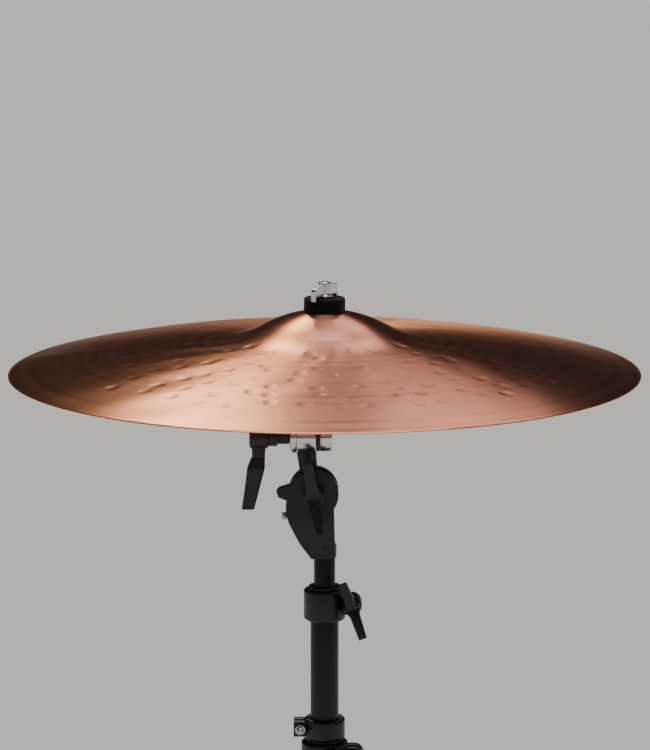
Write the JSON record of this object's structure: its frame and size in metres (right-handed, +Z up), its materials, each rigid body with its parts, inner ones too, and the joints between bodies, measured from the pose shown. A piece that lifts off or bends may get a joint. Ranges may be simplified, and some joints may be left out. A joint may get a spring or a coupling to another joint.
{
  "type": "suspended cymbal on a tripod stand",
  "caption": "Hand-hammered bronze ride cymbal with a domed bell, held by felts and a wing nut on a tilting, telescopic tripod stand.",
  "frame": {"origin": "on the floor under the centre of the stand, at the middle of the object's box", "axes": "+Z up along the stand's tubes and the cymbal's rod; +X to the player's right of the front view, towards the clamps' ears; +Y away from the front view; one leg points along -Y"},
  "size_m": [0.5588, 0.5588, 0.941],
  "materials": {
    "bronze": "lathed and hand-hammered bronze",
    "chrome": "polished chrome plate",
    "felt": "dense black wool felt",
    "black_metal": "satin black powder coat on steel and die-cast zinc",
    "steel": "zinc-plated steel",
    "black_plastic": "moulded black nylon",
    "rubber": "moulded black rubber",
    "fibre": "dark friction fibre"
  },
  "bodies": {
    "stand_base": {"base_tube": "black_metal", "lower_collar": "black_metal", "brace_end_pins": "steel", "end_cap": "black_plastic", "lower_bushing": "black_plastic", "lower_clamp": "black_metal", "lower_clamp_nut": "steel"},
    "leg_collar": {"leg_collar": "black_metal", "leg_pivot_pins": "steel"},
    "middle": {"middle_tube": "black_metal", "memory_lock": "black_metal", "key_bolt": "steel", "upper_bushing": "black_plastic", "upper_clamp": "black_metal", "upper_clamp_nut": "steel"},
    "upper": {"upper_tube": "black_metal"},
    "head_base": {"drum_casting": "black_metal", "drum_pads": "fibre", "drum_nut": "steel", "stop_screw": "steel"},
    "drum_bolt": {"drum_wing_bolt": "black_metal"},
    "knuckle": {"knuckle": "black_metal", "tilter_base": "chrome", "tilter_washer": "fibre", "thrust_washer": "chrome"},
    "lever": {"clamp_lever": "black_plastic", "lever_insert": "black_metal", "lever_screw": "steel"},
    "rod_head": {"tilter_head": "chrome", "tilter_bolt": "steel", "cymbal_rod": "chrome", "seat_washer": "chrome", "cymbal_sleeve": "black_plastic"},
    "bottom_felt": {"bottom_felt": "felt"},
    "cymbal": {"cymbal": "bronze"},
    "top_felt": {"top_felt": "felt"},
    "wing_nut": {"wing_nut": "chrome"},
    "upper_clamp_bolt": {"upper_clamp_bolt": "black_metal"},
    "lower_clamp_bolt": {"lower_clamp_bolt": "black_metal"},
    "leg_collar_bolt": {"leg_collar_bolt": "black_metal"},
    "leg_1": {"leg_1": "black_metal", "foot_1": "rubber", "brace_rivet_1": "steel"},
    "brace_1": {"brace_1": "black_metal"},
    "leg_2": {"leg_2": "black_metal", "foot_2": "rubber", "brace_rivet_2": "steel"},
    "brace_2": {"brace_2": "black_metal"},
    "leg_3": {"leg_3": "black_metal", "foot_3": "rubber", "brace_rivet_3": "steel"},
    "brace_3": {"brace_3": "black_metal"}
  },
  "joints": [
    {"name": "leg_fold", "type": "slide", "parent": "stand_base", "child": "leg_collar", "axis": [0, 0, 1], "range_m": [0, 0.07348]},
    {"name": "middle_slide", "type": "slide", "parent": "stand_base", "child": "middle", "axis": [0, 0, 1], "range_m": [0, 0.25]},
    {"name": "upper_slide", "type": "slide", "parent": "middle", "child": "upper", "axis": [0, 0, 1], "range_m": [-0.025, 0.3]},
    {"name": "head_swivel", "type": "hinge", "parent": "upper", "child": "head_base", "pos_m": [0, 0, 0.691], "axis": [0, 0, 1], "continuous": true},
    {"name": "drum_tilt", "type": "hinge", "parent": "head_base", "child": "knuckle", "pos_m": [-0.0097, 0, 0.7507], "axis": [0, 1, 0], "range_deg": [-60, 75]},
    {"name": "drum_bolt_turn", "type": "hinge", "parent": "head_base", "child": "drum_bolt", "pos_m": [-0.0097, -0.02, 0.7507], "axis": [0, -1, 0], "continuous": true},
    {"name": "tilter_tilt", "type": "hinge", "parent": "knuckle", "child": "rod_head", "pos_m": [0.0013, 0, 0.8015], "axis": [1, 0, 0], "range_deg": [-80, 80]},
    {"name": "lever_turn", "type": "hinge", "parent": "knuckle", "child": "lever", "pos_m": [-0.045, 0, 0.8015], "axis": [-1, 0, 0], "continuous": true},
    {"name": "cymbal_spin", "type": "hinge", "parent": "rod_head", "child": "bottom_felt", "pos_m": [0, 0, 0.907], "axis": [0, 0, 1], "continuous": true},
    {"name": "cymbal_rock", "type": "hinge", "parent": "bottom_felt", "child": "cymbal", "pos_m": [0, 0, 0.915], "axis": [1, 0, 0], "range_deg": [-8, 8], "deforming": ["bottom_felt", "top_felt"]},
    {"name": "top_felt_spin", "type": "hinge", "parent": "rod_head", "child": "top_felt", "pos_m": [0, 0, 0.921], "axis": [0, 0, 1], "continuous": true},
    {"name": "wing_nut_spin", "type": "hinge", "parent": "rod_head", "child": "wing_nut", "pos_m": [0, 0, 0.932], "axis": [0, 0, 1], "continuous": true},
    {"name": "upper_clamp_bolt_turn", "type": "hinge", "parent": "middle", "child": "upper_clamp_bolt", "pos_m": [0.025, -0.012, 0.648], "axis": [0, -1, 0], "continuous": true},
    {"name": "lower_clamp_bolt_turn", "type": "hinge", "parent": "stand_base", "child": "lower_clamp_bolt", "pos_m": [0.0273, -0.012, 0.506], "axis": [0, -1, 0], "continuous": true},
    {"name": "leg_collar_bolt_turn", "type": "hinge", "parent": "leg_collar", "child": "leg_collar_bolt", "pos_m": [0.01931, -0.01115, 0.262], "axis": [0.866, -0.5, 0], "continuous": true},
    {"name": "leg_1_hinge", "type": "hinge", "parent": "leg_collar", "child": "leg_1", "pos_m": [0, -0.03, 0.25], "axis": [1, 0, 0], "range_deg": [0, 40.2]},
    {"name": "brace_1_hinge", "type": "hinge", "parent": "leg_1", "child": "brace_1", "pos_m": [0, -0.12174, 0.155], "axis": [1, 0, 0], "range_deg": [-80.39, 0]},
    {"name": "leg_2_hinge", "type": "hinge", "parent": "leg_collar", "child": "leg_2", "pos_m": [0.02598, 0.015, 0.25], "axis": [-0.5, 0.866, 0], "range_deg": [0, 40.2]},
    {"name": "brace_2_hinge", "type": "hinge", "parent": "leg_2", "child": "brace_2", "pos_m": [0.10543, 0.06087, 0.155], "axis": [-0.5, 0.866, 0], "range_deg": [-80.39, 0]},
    {"name": "leg_3_hinge", "type": "hinge", "parent": "leg_collar", "child": "leg_3", "pos_m": [-0.02598, 0.015, 0.25], "axis": [-0.5, -0.866, 0], "range_deg": [0, 40.2]},
    {"name": "brace_3_hinge", "type": "hinge", "parent": "leg_3", "child": "brace_3", "pos_m": [-0.10543, 0.06087, 0.155], "axis": [-0.5, -0.866, 0], "range_deg": [-80.39, 0]}
  ],
  "couplings": [
    {"joint": "leg_1_hinge", "follows": "leg_fold", "rad_per_m": 9.5},
    {"joint": "brace_1_hinge", "follows": "leg_fold", "rad_per_m": -19},
    {"joint": "leg_2_hinge", "follows": "leg_fold", "rad_per_m": 9.5},
    {"joint": "brace_2_hinge", "follows": "leg_fold", "rad_per_m": -19},
    {"joint": "leg_3_hinge", "follows": "leg_fold", "rad_per_m": 9.5},
    {"joint": "brace_3_hinge", "follows": "leg_fold", "rad_per_m": -19}
  ]
}
